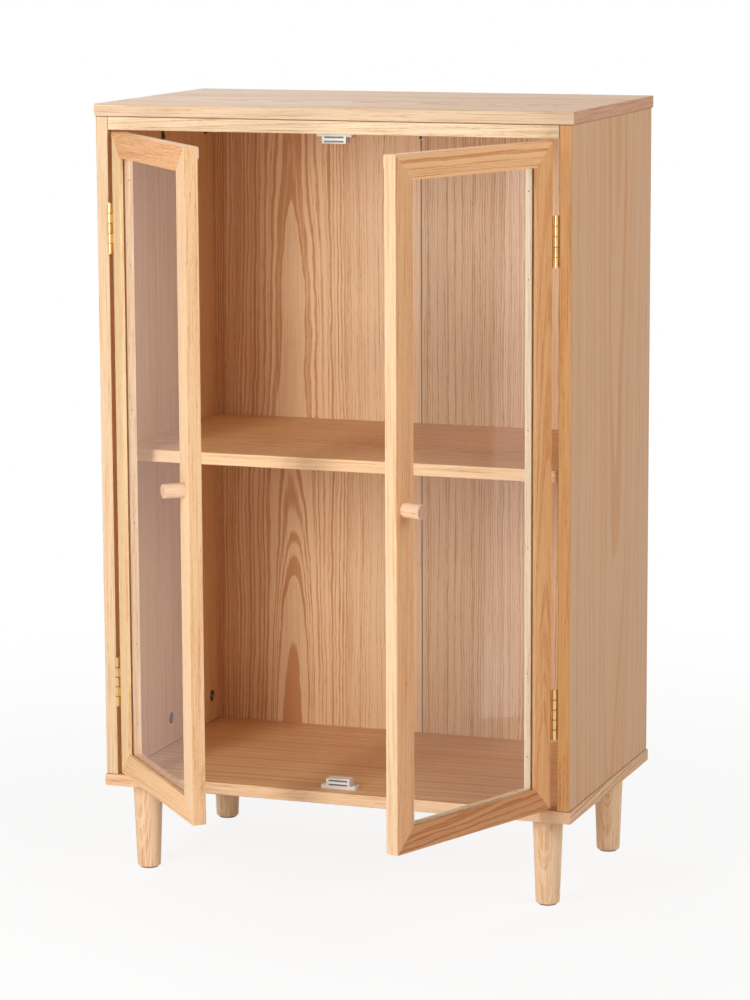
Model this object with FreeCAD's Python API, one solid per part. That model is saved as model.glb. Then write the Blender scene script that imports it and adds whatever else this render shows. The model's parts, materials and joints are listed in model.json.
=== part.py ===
import FreeCAD, Part
import math
import os

# A two-door glass-front cabinet on four tapered legs, in millimetres.
# X runs to the right, Y to the back and Z up, from the middle of the footprint on the floor.
# The left half is drawn and mirrored. Doors are drawn shut and then swung to their resting angle.

# Carcass panels
cabinet_width = 600.0
cabinet_depth = 340.0
body_height = 840.0
top_thickness = 15.0
bottom_thickness = 15.0
side_thickness = 15.0
panel_overhang = 2.0
panel_edge_radius = 1.5
board_edge_radius = 1.0
rail_thickness = 16.0
rail_depth = 60.0
shelf_thickness = 15.0
shelf_setback = 24.0
shelf_back_clearance = 0.5

# Back boards, slid into grooves and meeting at a clipped seam
back_thickness = 3.0
back_inset = 3.0
groove_depth = 5.0
groove_side_clearance = 0.1
groove_end_clearance = 0.5
seam_gap = 1.0
clip_width = 5.0
clip_height = 8.0
clip_flange = 1.0
clip_drop = 56.0
clip_button_radius = 1.8
clip_button_height = 0.8

# Cam fittings and dowels that draw the panels together
cam_radius = 7.5
cam_depth = 12.5
cam_reach = 34.0
cam_edge_distance = 33.0
cam_recess_length = 8.0
cam_recess_width = 1.4
cam_recess_depth = 1.6
cam_slot_clearance = 0.4
bolt_thread_radius = 3.0
bolt_thread_depth = 11.0
bolt_shank_radius = 2.4
bolt_head_radius = 3.0
bolt_head_height = 3.0
bolt_neck_radius = 1.8
bolt_neck_length = 5.0
dowel_radius = 4.0
dowel_in_face = 10.0
dowel_in_edge = 20.0
dowel_end_clearance = 0.5
rail_dowel_spacing = 30.0
shelf_dowel_inset = 50.0
bore_clearance = 0.1

# Legs
leg_height = 110.0
leg_inset = 40.0
leg_top_radius = 18.5
leg_foot_radius = 14.5
leg_foot_edge = 2.5
hanger_radius = 4.0
hanger_in_leg = 30.0
hanger_in_panel = 11.0
hanger_end_clearance = 0.5
glide_radius = 11.5
glide_height = 1.8
glide_edge = 0.6
glide_nail_radius = 1.5
glide_nail_length = 14.0

# Butt hinges
hinge_height = 60.0
hinge_end_distance = 88.0
knuckle_count = 5
knuckle_gap = 0.5
knuckle_clearance = 0.3
leaf_thickness = 1.2
leaf_reach = 16.0
pin_radius = 1.5
pin_clearance = 0.05
pin_head_radius = 2.3
pin_head_height = 0.8
hinge_screw_spacing = 40.0
hinge_screw_head = 2.8
hinge_screw_shank = 1.5
hinge_screw_length = 12.0

# Doors
door_thickness = 17.0
frame_width = 29.0
lip_thickness = 4.5
rebate_width = 8.0
glass_thickness = 3.0
glass_edge_clearance = 1.0
bead_end_gap = 0.1
door_top_gap = 2.4
door_bottom_gap = 3.3
meeting_gap = 3.0
arris_radius = 1.0
left_open_angle = 49.0
right_open_angle = 68.5
knob_radius = 8.5
knob_length = 26.0
knob_edge = 1.5
knob_screw_radius = 2.0
knob_screw_head_radius = 3.6
knob_screw_head_height = 2.2
knob_screw_depth = 16.0

# Magnetic catches and the strike plates that they hold
strike_width = 13.0
strike_height = 13.0
strike_thickness = 1.0
strike_screw_head = 2.4
strike_screw_shank = 1.2
strike_screw_length = 9.0
catch_clearance = 0.3
catch_length = 46.0
catch_depth = 15.0
catch_flange = 4.0
catch_flange_corner = 3.0
catch_body_length = 30.0
catch_height = 12.5
catch_body_edge = 1.2
catch_front_wall = 1.2
catch_cap_wall = 1.5
pole_length = 24.0
pole_thickness = 1.2
pole_setback = 0.9
pole_slot_height = 2.2
magnet_thickness = 4.8
magnet_fit = 0.1
catch_screw_head_radius = 2.8
catch_screw_head_height = 1.6
catch_screw_shank = 1.5
catch_screw_length = 10.0

# Levels and planes that the pieces share
front_y = -cabinet_depth / 2
back_y = cabinet_depth / 2
bottom_z = leg_height
floor_z = bottom_z + bottom_thickness
top_z = bottom_z + body_height
ceiling_z = top_z - top_thickness
rail_z = ceiling_z - rail_thickness
side_out = cabinet_width / 2 - panel_overhang
side_in = side_out - side_thickness
side_mid = (side_out + side_in) / 2
shelf_z = (floor_z + rail_z) / 2
shelf_front_y = front_y + shelf_setback
board_back_y = back_y - back_inset
board_front_y = board_back_y - back_thickness
shelf_back_y = board_front_y - shelf_back_clearance
barrel_bore = pin_radius + pin_clearance
barrel_radius = barrel_bore + leaf_thickness
hinge_x = -(side_in - barrel_radius)
hinge_y = front_y - barrel_radius
hinge_gap = 2 * barrel_radius
door_left = -(side_in - hinge_gap)
door_right = -meeting_gap / 2
door_low = floor_z + door_bottom_gap
door_high = rail_z - door_top_gap
door_back_y = front_y + door_thickness
hinge_lows = {
    "upper": rail_z - hinge_end_distance - hinge_height,
    "lower": floor_z + hinge_end_distance,
}

same_place = 1e-6
X = FreeCAD.Vector(1, 0, 0)
Y = FreeCAD.Vector(0, 1, 0)
Z = FreeCAD.Vector(0, 0, 1)


def point(x, y, z):
    return FreeCAD.Vector(x, y, z)


def box(x0, x1, y0, y1, z0, z1):
    return Part.makeBox(x1 - x0, y1 - y0, z1 - z0, point(x0, y0, z0))


def rod(radius, start, direction, length):
    return Part.makeCylinder(radius, length, start, direction)


def eased(shape, radius, chosen):
    """Round the edges for which chosen(edge) is true."""
    return shape.makeFillet(radius, [e for e in shape.Edges if chosen(e)])


def bevelled(shape, size, chosen):
    """Cut the edges for which chosen(edge) is true off at a slant."""
    return shape.makeChamfer(size, [e for e in shape.Edges if chosen(e)])


def runs_along(edge, direction):
    return abs(abs(edge.tangentAt(edge.FirstParameter).dot(direction)) - 1) < same_place


def at_front(edge, y):
    return abs(edge.CenterOfMass.y - y) < same_place


def mirrored(shape):
    return shape.mirror(point(0, 0, 0), X)


def joined(shapes):
    return shapes[0].multiFuse(shapes[1:]).removeSplitter()


def export(node, *solids):
    shape = solids[0] if len(solids) == 1 else Part.makeCompound(list(solids))
    shape.exportStep("parts/" + node + ".step")


def both_halves(shapes):
    return list(shapes) + [mirrored(s) for s in shapes]


def flat_screw(head, shank, sheet, length, start, direction, clearance=0.0):
    """A countersunk screw through a sheet, or its hole when a clearance is given."""
    cone = Part.makeCone(head + clearance, shank + clearance, sheet, start, direction)
    below = start + direction * sheet
    return joined([cone, rod(shank + clearance, below, direction, length + clearance)])


def raised_screw(head, height, shank, length, seat, direction):
    """A screw whose bevelled head stands on the seat and whose shank runs along the direction."""
    cap = rod(head, seat - direction * height, direction, height)
    cap = bevelled(cap, height / 2, lambda e: e.Closed and e.CenterOfMass.distanceToPoint(seat) > height / 2)
    return joined([cap, rod(shank, seat, direction, length)])


# Dowels: each joins the face of one panel to the edge of the next.
def dowel(seat, into_edge):
    """A dowel standing in a panel's face at the seat, with the bore that it needs."""
    length = dowel_in_face + dowel_in_edge
    start = seat - into_edge * dowel_in_face
    bore_start = start - into_edge * dowel_end_clearance
    bore = rod(dowel_radius + bore_clearance, bore_start, into_edge, length + 2 * dowel_end_clearance)
    return rod(dowel_radius, start, into_edge, length), bore


cam_pitch = cabinet_depth / 2 - cam_edge_distance
side_dowels = []
for y in (-cam_pitch / 2, cam_pitch / 2):
    side_dowels.append(dowel(point(-side_mid, y, floor_z), Z))
    side_dowels.append(dowel(point(-side_mid, y, ceiling_z), -Z))

rail_dowels = []
for offset in (-rail_dowel_spacing / 2, rail_dowel_spacing / 2):
    seat = point(-side_in, front_y + rail_depth / 2 + offset, rail_z + rail_thickness / 2)
    rail_dowels.append(dowel(seat, X))

shelf_dowels = []
for y in (shelf_front_y + shelf_dowel_inset, shelf_back_y - shelf_dowel_inset):
    shelf_dowels.append(dowel(point(-side_in, y, shelf_z), X))

all_dowels = side_dowels + rail_dowels + shelf_dowels


# Cam fittings: a bolt in the top or bottom panel, drawn in by a cam let into the side.
def cam_fitting(y, joint_z, inward):
    """The cam, its bolt, the pocket in the side and the thread's hole in the panel."""
    axis = point(-side_mid, y, joint_z)
    centre = axis + inward * cam_reach
    face = point(-side_in, y, centre.z)
    pocket = rod(cam_radius + bore_clearance, face, -X, cam_depth + bore_clearance)
    head_end = cam_reach + bolt_head_height / 2
    neck_start = head_end - bolt_head_height - bolt_neck_length
    bolt = joined([
        rod(bolt_thread_radius, axis - inward * bolt_thread_depth, inward, bolt_thread_depth),
        rod(bolt_shank_radius, axis, inward, neck_start),
        rod(bolt_neck_radius, axis + inward * neck_start, inward, bolt_neck_length),
        rod(bolt_head_radius, axis + inward * (head_end - bolt_head_height), inward, bolt_head_height),
    ])
    passage = rod(bolt_thread_radius + bore_clearance, axis, inward, cam_reach)
    thread_hole = rod(bolt_thread_radius + bore_clearance, axis - inward * bolt_thread_depth,
                      inward, bolt_thread_depth)
    cam = rod(cam_radius, face, -X, cam_depth)
    half_slot = bolt_head_radius + cam_slot_clearance
    slot_start = joint_z + inward.z * (cam_reach - cam_radius)
    slot_end = joint_z + inward.z * (head_end + cam_slot_clearance)
    slot = box(-side_mid - half_slot, -side_mid + half_slot, y - half_slot, y + half_slot,
               min(slot_start, slot_end), max(slot_start, slot_end))
    half_long = cam_recess_length / 2
    half_thin = cam_recess_width / 2
    floor_x = -side_in - cam_recess_depth
    across = box(floor_x, -side_in, y - half_long, y + half_long, centre.z - half_thin, centre.z + half_thin)
    upright = box(floor_x, -side_in, y - half_thin, y + half_thin, centre.z - half_long, centre.z + half_long)
    return cam.cut([slot, across, upright]), bolt, pocket.fuse(passage), thread_hole


fittings = {
    "bottom": [cam_fitting(y, floor_z, Z) for y in (-cam_pitch, 0, cam_pitch)],
    "top": [cam_fitting(y, ceiling_z, -Z) for y in (-cam_pitch, 0, cam_pitch)],
}
all_fittings = fittings["bottom"] + fittings["top"]


# Hinges: two leaves rolled round one pin, their knuckles taking turns.
def leaf(plate_x, into_leaf, low, rows):
    """One leaf, flat against the plane x = plate_x, with knuckles in the given rows."""
    row_height = hinge_height / knuckle_count
    root_y = hinge_y + barrel_radius + knuckle_clearance
    inner_x = plate_x + into_leaf * leaf_thickness
    plate = box(min(plate_x, inner_x), max(plate_x, inner_x), root_y, hinge_y + leaf_reach,
                low, low + hinge_height)
    meet_y = hinge_y + math.sqrt(barrel_radius ** 2 - barrel_bore ** 2)
    solids = [plate]
    for row in rows:
        z = low + row * row_height + knuckle_gap / 2
        around = point(hinge_x + into_leaf * barrel_radius, hinge_y, z)
        below = point(hinge_x, hinge_y - barrel_radius, z)
        tangent = point(plate_x, hinge_y, z)
        meeting = point(inner_x, meet_y, z)
        rolled = Part.Wire([
            Part.makeLine(point(plate_x, root_y, z), tangent),
            Part.Arc(tangent, below, around).toShape(),
            Part.Arc(around, point(hinge_x, hinge_y + barrel_radius, z), meeting).toShape(),
            Part.makeLine(meeting, point(inner_x, root_y, z)),
            Part.makeLine(point(inner_x, root_y, z), point(plate_x, root_y, z)),
        ])
        bore = Part.Wire([Part.makeCircle(barrel_bore, point(hinge_x, hinge_y, z))])
        solids.append(Part.Face([rolled, bore]).extrude(Z * (row_height - knuckle_gap)))
    return joined(solids)


def hinge_screw_places(plate_x, low):
    y = (hinge_y + barrel_radius + hinge_y + leaf_reach) / 2
    middle = low + hinge_height / 2
    return [point(plate_x, y, middle + s * hinge_screw_spacing / 2) for s in (-1, 1)]


def hinge_screw(place, direction, clearance=0.0):
    return flat_screw(hinge_screw_head, hinge_screw_shank, leaf_thickness, hinge_screw_length,
                      place, direction, clearance)


frame_leaves = {}
door_leaves = {}
pins = {}
frame_screws = []
door_screws = []
frame_screw_holes = []
door_screw_holes = []
for level, low in hinge_lows.items():
    frame_places = hinge_screw_places(-side_in + leaf_thickness, low)
    door_places = hinge_screw_places(door_left - leaf_thickness, low)
    frame_screws += [hinge_screw(p, -X) for p in frame_places]
    door_screws += [hinge_screw(p, X) for p in door_places]
    frame_holes = [hinge_screw(p, -X, bore_clearance) for p in frame_places]
    door_holes = [hinge_screw(p, X, bore_clearance) for p in door_places]
    frame_screw_holes += frame_holes
    door_screw_holes += door_holes
    frame_rows = range(0, knuckle_count, 2)
    door_rows = range(1, knuckle_count, 2)
    frame_leaves[level] = leaf(-side_in, 1, low, frame_rows).cut(frame_holes)
    door_leaves[level] = leaf(door_left, -1, low, door_rows).cut(door_holes)
    foot = point(hinge_x, hinge_y, low)
    pins[level] = joined([
        rod(pin_head_radius, foot - Z * pin_head_height, Z, pin_head_height),
        rod(pin_radius, foot, Z, hinge_height),
        rod(pin_head_radius, foot + Z * hinge_height, Z, pin_head_height),
    ])


# Magnetic catches, drawn as the one on the cabinet's floor, and turned over under the rail.
catch_front_y = door_back_y + strike_thickness + catch_clearance
catch_back_y = catch_front_y + catch_depth
stack_height = 2 * pole_thickness + magnet_thickness
stack_low = floor_z + catch_height - catch_cap_wall - stack_height
catch_mid_y = (catch_front_y + catch_back_y) / 2
screw_reach = (catch_length + catch_body_length) / 4
catch_screw_seats = [point(s * screw_reach, catch_mid_y, floor_z + catch_flange) for s in (-1, 1)]

flange = box(-catch_length / 2, catch_length / 2, catch_front_y, catch_back_y,
             floor_z, floor_z + catch_flange)
flange = eased(flange, catch_flange_corner, lambda e: runs_along(e, Z))
catch_body = box(-catch_body_length / 2, catch_body_length / 2, catch_front_y, catch_back_y,
                 floor_z, floor_z + catch_height)
body_top = floor_z + catch_height
catch_body = eased(catch_body, catch_body_edge,
                   lambda e: abs(e.CenterOfMass.z - body_top) < catch_body_edge / 2)
cavity_half = pole_length / 2 + magnet_fit
cavity_front = catch_front_y + catch_front_wall
cavity_low = stack_low - magnet_fit
cavity_high = stack_low + stack_height + magnet_fit
cavity = box(-cavity_half, cavity_half, cavity_front, catch_back_y, cavity_low, cavity_high)
pole_lows = (stack_low, stack_low + pole_thickness + magnet_thickness)
slot_levels = (
    (cavity_low, cavity_low + pole_slot_height),
    (cavity_high - pole_slot_height, cavity_high),
)
pole_slots = [
    box(-cavity_half, cavity_half, catch_front_y, cavity_front, z0, z1) for z0, z1 in slot_levels
]
catch_screw_holes = [rod(catch_screw_shank + bore_clearance, s, -Z, catch_flange) for s in catch_screw_seats]
catch_housing = joined([flange, catch_body]).cut([cavity] + pole_slots + catch_screw_holes)
catch_poles = [
    box(-pole_length / 2, pole_length / 2, catch_front_y + pole_setback, catch_back_y, z, z + pole_thickness)
    for z in pole_lows
]
catch_magnet = box(-pole_length / 2, pole_length / 2, cavity_front + magnet_fit, catch_back_y,
                   stack_low + pole_thickness, stack_low + pole_thickness + magnet_thickness)
catch_screws = [
    raised_screw(catch_screw_head_radius, catch_screw_head_height, catch_screw_shank,
                 catch_flange + catch_screw_length, seat, -Z)
    for seat in catch_screw_seats
]
catch_pilots = [
    rod(catch_screw_shank + bore_clearance, point(s.x, s.y, floor_z), -Z, catch_screw_length + bore_clearance)
    for s in catch_screw_seats
]


def under_rail(shape):
    """Turn a piece of the lower catch over, from the cabinet's floor to the rail's underside."""
    return shape.mirror(point(0, 0, (floor_z + rail_z) / 2), Z)


# Carcass panels, with their grooves, bores and pockets
def grooved(panel, z0, z1, x_reach):
    """Cut the slot that takes the back boards."""
    return panel.cut(box(-x_reach, x_reach, board_front_y - groove_side_clearance,
                         board_back_y + groove_side_clearance, z0, z1))


def level_edge(edge):
    return not runs_along(edge, Z)


board_reach = side_in + groove_depth
side_dowel_bores = both_halves([bore for _, bore in side_dowels])
thread_holes = {
    end: both_halves([thread_hole for _, _, _, thread_hole in fittings[end]]) for end in fittings
}

top_panel = box(-cabinet_width / 2, cabinet_width / 2, front_y, back_y, ceiling_z, top_z)
top_panel = eased(top_panel, panel_edge_radius, level_edge)
top_panel = grooved(top_panel, ceiling_z, ceiling_z + groove_depth, board_reach)
top_panel = top_panel.cut(side_dowel_bores + thread_holes["top"])

leg_places = {
    "front_left": (-1, -1),
    "front_right": (1, -1),
    "rear_left": (-1, 1),
    "rear_right": (1, 1),
}
leg_axes = {
    place: (sx * (cabinet_width / 2 - leg_inset), sy * (cabinet_depth / 2 - leg_inset))
    for place, (sx, sy) in leg_places.items()
}
hanger_bores = [
    rod(hanger_radius + bore_clearance, point(x, y, bottom_z), Z, hanger_in_panel + hanger_end_clearance)
    for x, y in leg_axes.values()
]

bottom_panel = box(-cabinet_width / 2, cabinet_width / 2, front_y, back_y, bottom_z, floor_z)
bottom_panel = eased(bottom_panel, panel_edge_radius, level_edge)
bottom_panel = grooved(bottom_panel, floor_z - groove_depth, floor_z, board_reach)
bottom_panel = bottom_panel.cut(side_dowel_bores + thread_holes["bottom"] + hanger_bores + catch_pilots)

side_panel = box(-side_out, -side_in, front_y, back_y, floor_z, ceiling_z)
side_panel = eased(side_panel, board_edge_radius, lambda e: runs_along(e, Z))
side_panel = grooved(side_panel, floor_z, ceiling_z, board_reach)
side_panel = side_panel.cut([bore for _, bore in all_dowels] + frame_screw_holes)
side_panel = side_panel.cut([pocket for _, _, pocket, _ in all_fittings])

front_rail = box(-side_in, side_in, front_y, front_y + rail_depth, rail_z, ceiling_z)
front_rail = eased(front_rail, board_edge_radius, lambda e: runs_along(e, X) and at_front(e, front_y))
front_rail = front_rail.cut(both_halves([bore for _, bore in rail_dowels]))
front_rail = front_rail.cut([under_rail(pilot) for pilot in catch_pilots])

shelf = box(-side_in, side_in, shelf_front_y, shelf_back_y,
            shelf_z - shelf_thickness / 2, shelf_z + shelf_thickness / 2)
shelf = eased(shelf, board_edge_radius, lambda e: runs_along(e, X) and at_front(e, shelf_front_y))
shelf = shelf.cut(both_halves([bore for _, bore in shelf_dowels]))

board_end = groove_depth - groove_end_clearance
back_board = box(-side_in - board_end, -seam_gap / 2, board_front_y, board_back_y,
                 floor_z - board_end, ceiling_z + board_end)

clip_z = top_z - clip_drop
clip_faces = (board_front_y - clip_flange, board_back_y)
clip_button_seat = point(0, board_front_y - clip_flange - clip_button_height, clip_z)
clip_low = clip_z - clip_height / 2
clip_high = clip_z + clip_height / 2
clip_web = seam_gap / 2 - groove_side_clearance
seam_clip = joined([
    box(-clip_width / 2, clip_width / 2, y, y + clip_flange, clip_low, clip_high) for y in clip_faces
] + [
    box(-clip_web, clip_web, board_front_y, board_back_y, clip_low, clip_high),
    rod(clip_button_radius, clip_button_seat, Y, clip_button_height),
])


# Legs: tapered and turned, each on a hanger bolt, with a nailed glide under its foot
def leg(x, y):
    """A cone that narrows to the foot, with the foot's rim rounded."""
    foot = point(x, y, glide_height)
    turned = Part.makeCone(leg_foot_radius, leg_top_radius, leg_height - glide_height, foot)
    turned = eased(turned, leg_foot_edge, lambda e: e.Closed and e.CenterOfMass.z < leg_height / 2)
    hanger_bore = rod(hanger_radius + bore_clearance, point(x, y, leg_height), -Z,
                      hanger_in_leg + hanger_end_clearance)
    nail_bore = rod(glide_nail_radius + bore_clearance, foot, Z, glide_nail_length + bore_clearance)
    return turned.cut([hanger_bore, nail_bore])


def glide(x, y):
    rim = rod(glide_radius, point(x, y, 0), Z, glide_height)
    rim = bevelled(rim, glide_edge, lambda e: e.Closed and e.CenterOfMass.z < glide_height / 2)
    return joined([rim, rod(glide_nail_radius, point(x, y, glide_height), Z, glide_nail_length)])


def hanger_bolt(x, y):
    return rod(hanger_radius, point(x, y, leg_height - hanger_in_leg), Z, hanger_in_leg + hanger_in_panel)


# Doors: four mitred bars with a rebate behind the lip, where beads hold the glass
bar_names = {"bottom": "bottom_rail", "right": "meeting_stile", "top": "top_rail", "left": "hinge_stile"}
bar_sides = list(bar_names)
glass_front_y = front_y + lip_thickness
glass_back_y = glass_front_y + glass_thickness
rebate_start = frame_width - rebate_width


def door_corners(inset):
    """The door's corners, drawn in from its edges, from the low left one round."""
    x0 = door_left + inset
    x1 = door_right - inset
    z0 = door_low + inset
    z1 = door_high - inset
    return [point(x0, 0, z0), point(x1, 0, z0), point(x1, 0, z1), point(x0, 0, z1)]


def mitred(side, outer, inner, y0, y1, end_gap=0.0):
    """The bar on one side of the door, between two distances in from the door's edges."""
    first = bar_sides.index(side)
    second = (first + 1) % len(bar_sides)
    outside = door_corners(outer)
    inside = door_corners(inner)
    trim = (outside[second] - outside[first]).normalize() * end_gap
    plan = [outside[first] + trim, outside[second] - trim, inside[second] - trim, inside[first] + trim]
    face = Part.Face(Part.makePolygon([corner + Y * y0 for corner in plan + plan[:1]]))
    return face.extrude(Y * (y1 - y0))


def frame_bar(side):
    """One bar of the door's frame, rebated for the glass, with its outer arrises eased."""
    solid = mitred(side, 0, frame_width, front_y, door_back_y)
    solid = solid.cut(mitred(side, rebate_start, frame_width, glass_front_y, door_back_y))
    upright = side in ("left", "right")
    length = Z if upright else X
    across = X if upright else Z
    outside = door_corners(0)[bar_sides.index(side)].dot(across)
    return eased(solid, arris_radius,
                 lambda e: runs_along(e, length) and abs(e.CenterOfMass.dot(across) - outside) < same_place)


knob_x = door_right - frame_width / 2
knob_z = (door_low + door_high) / 2
knob_base = point(knob_x, front_y, knob_z)
knob = rod(knob_radius, knob_base, -Y, knob_length)
knob = eased(knob, knob_edge,
             lambda e: e.Closed and e.CenterOfMass.distanceToPoint(knob_base) > knob_length / 2)
knob_screw_seat = point(knob_x, door_back_y, knob_z)
knob_screw_reach = door_thickness + knob_screw_depth
knob_screw = raised_screw(knob_screw_head_radius, knob_screw_head_height, knob_screw_radius,
                          knob_screw_reach, knob_screw_seat, -Y)
knob_screw_hole = rod(knob_screw_radius + bore_clearance, knob_screw_seat, -Y,
                      knob_screw_reach + bore_clearance)

strike_right = door_right - arris_radius
strike_left = strike_right - strike_width
strike_lows = (door_low + arris_radius, door_high - arris_radius - strike_height)
strike_back_y = door_back_y + strike_thickness
strike_screw_places = [
    point((strike_left + strike_right) / 2, strike_back_y, z + strike_height / 2) for z in strike_lows
]


def strike_screw(place, clearance=0.0):
    return flat_screw(strike_screw_head, strike_screw_shank, strike_thickness, strike_screw_length,
                      place, -Y, clearance)


strike_screw_holes = [strike_screw(p, bore_clearance) for p in strike_screw_places]
strikes = [
    box(strike_left, strike_right, door_back_y, strike_back_y, z, z + strike_height).cut(strike_screw_holes)
    for z in strike_lows
]

bar_holes = {
    "left": door_screw_holes,
    "right": [knob_screw_hole] + strike_screw_holes,
    "top": strike_screw_holes,
    "bottom": strike_screw_holes,
}
glass_inset = rebate_start + glass_edge_clearance
glass = box(door_left + glass_inset, door_right - glass_inset, glass_front_y, glass_back_y,
            door_low + glass_inset, door_high - glass_inset)

door_pieces = {bar_names[side]: [frame_bar(side).cut(bar_holes[side])] for side in bar_sides}
door_pieces["glass"] = [glass]
door_pieces["glazing_beads"] = [
    mitred(side, rebate_start, frame_width, glass_back_y, door_back_y, bead_end_gap) for side in bar_sides
]
door_pieces["knob"] = [knob.cut(knob_screw_hole)]
door_pieces["knob_screw"] = [knob_screw]
door_pieces["strike_plates"] = strikes
door_pieces["strike_screws"] = [strike_screw(p) for p in strike_screw_places]
door_pieces["upper_hinge_leaf"] = [door_leaves["upper"]]
door_pieces["lower_hinge_leaf"] = [door_leaves["lower"]]
door_pieces["hinge_screws"] = door_screws


def swung_left(shape):
    return shape.rotated(point(hinge_x, hinge_y, 0), Z, -left_open_angle)


def swung_right(shape):
    return mirrored(shape).rotated(point(-hinge_x, hinge_y, 0), Z, right_open_angle)


# Write every piece
os.makedirs("parts", exist_ok=True)
export("top_panel", top_panel)
export("bottom_panel", bottom_panel)
export("left_side_panel", side_panel)
export("right_side_panel", mirrored(side_panel))
export("top_front_rail", front_rail)
export("shelf", shelf)
export("back_board_left", back_board)
export("back_board_right", mirrored(back_board))
export("back_seam_clip", seam_clip)
export("panel_dowels", *both_halves([pin for pin, _ in all_dowels]))
export("cam_locks", *both_halves([cam for cam, _, _, _ in all_fittings]))
export("cam_bolts", *both_halves([bolt for _, bolt, _, _ in all_fittings]))
for place, (x, y) in leg_axes.items():
    export(place + "_leg", leg(x, y))
export("leg_hanger_bolts", *[hanger_bolt(x, y) for x, y in leg_axes.values()])
export("foot_glides", *[glide(x, y) for x, y in leg_axes.values()])

export("lower_catch_housing", catch_housing)
export("lower_catch_magnet", catch_magnet)
export("lower_catch_pole_plates", *catch_poles)
export("upper_catch_housing", under_rail(catch_housing))
export("upper_catch_magnet", under_rail(catch_magnet))
export("upper_catch_pole_plates", *[under_rail(p) for p in catch_poles])
export("catch_screws", *(catch_screws + [under_rail(s) for s in catch_screws]))

for level in hinge_lows:
    export("left_" + level + "_hinge_frame_leaf", frame_leaves[level])
    export("right_" + level + "_hinge_frame_leaf", mirrored(frame_leaves[level]))
export("left_hinge_pins", *pins.values())
export("right_hinge_pins", *[mirrored(p) for p in pins.values()])
export("frame_hinge_screws", *both_halves(frame_screws))

for piece, solids in door_pieces.items():
    export("left_door_" + piece, *[swung_left(s) for s in solids])
    export("right_door_" + piece, *[swung_right(s) for s in solids])
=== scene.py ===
import json
import math

import bpy
from mathutils import Matrix, Vector


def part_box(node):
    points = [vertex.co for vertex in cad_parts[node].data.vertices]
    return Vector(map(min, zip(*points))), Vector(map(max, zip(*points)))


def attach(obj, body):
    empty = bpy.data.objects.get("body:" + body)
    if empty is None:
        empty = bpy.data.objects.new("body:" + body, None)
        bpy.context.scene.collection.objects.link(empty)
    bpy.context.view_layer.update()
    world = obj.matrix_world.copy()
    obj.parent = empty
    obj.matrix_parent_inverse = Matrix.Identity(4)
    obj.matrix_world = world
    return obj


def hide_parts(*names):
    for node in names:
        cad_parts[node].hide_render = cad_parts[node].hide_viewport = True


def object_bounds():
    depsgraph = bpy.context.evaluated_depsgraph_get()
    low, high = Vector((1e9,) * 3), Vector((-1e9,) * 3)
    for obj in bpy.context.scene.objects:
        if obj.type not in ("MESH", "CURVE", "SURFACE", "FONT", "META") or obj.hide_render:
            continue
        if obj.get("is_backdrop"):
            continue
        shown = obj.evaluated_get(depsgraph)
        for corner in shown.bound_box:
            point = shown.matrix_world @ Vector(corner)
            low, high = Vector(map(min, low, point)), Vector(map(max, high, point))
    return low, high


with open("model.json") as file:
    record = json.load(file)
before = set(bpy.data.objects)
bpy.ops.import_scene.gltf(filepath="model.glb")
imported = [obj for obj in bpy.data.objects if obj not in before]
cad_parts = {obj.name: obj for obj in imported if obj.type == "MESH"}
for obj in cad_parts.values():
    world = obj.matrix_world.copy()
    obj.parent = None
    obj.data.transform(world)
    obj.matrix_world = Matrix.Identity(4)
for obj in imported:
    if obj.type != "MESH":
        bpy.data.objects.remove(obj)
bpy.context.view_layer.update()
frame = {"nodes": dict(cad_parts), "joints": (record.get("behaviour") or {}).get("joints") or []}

# Legs: solid oak, turned to a taper, screwed into the bottom panel on hanger bolts.
# The grain stands upright and shows pointed arches where the taper cuts across the rings.
# The first finish that they need, lacquered oak, is mixed here for all the wood that follows.


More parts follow.
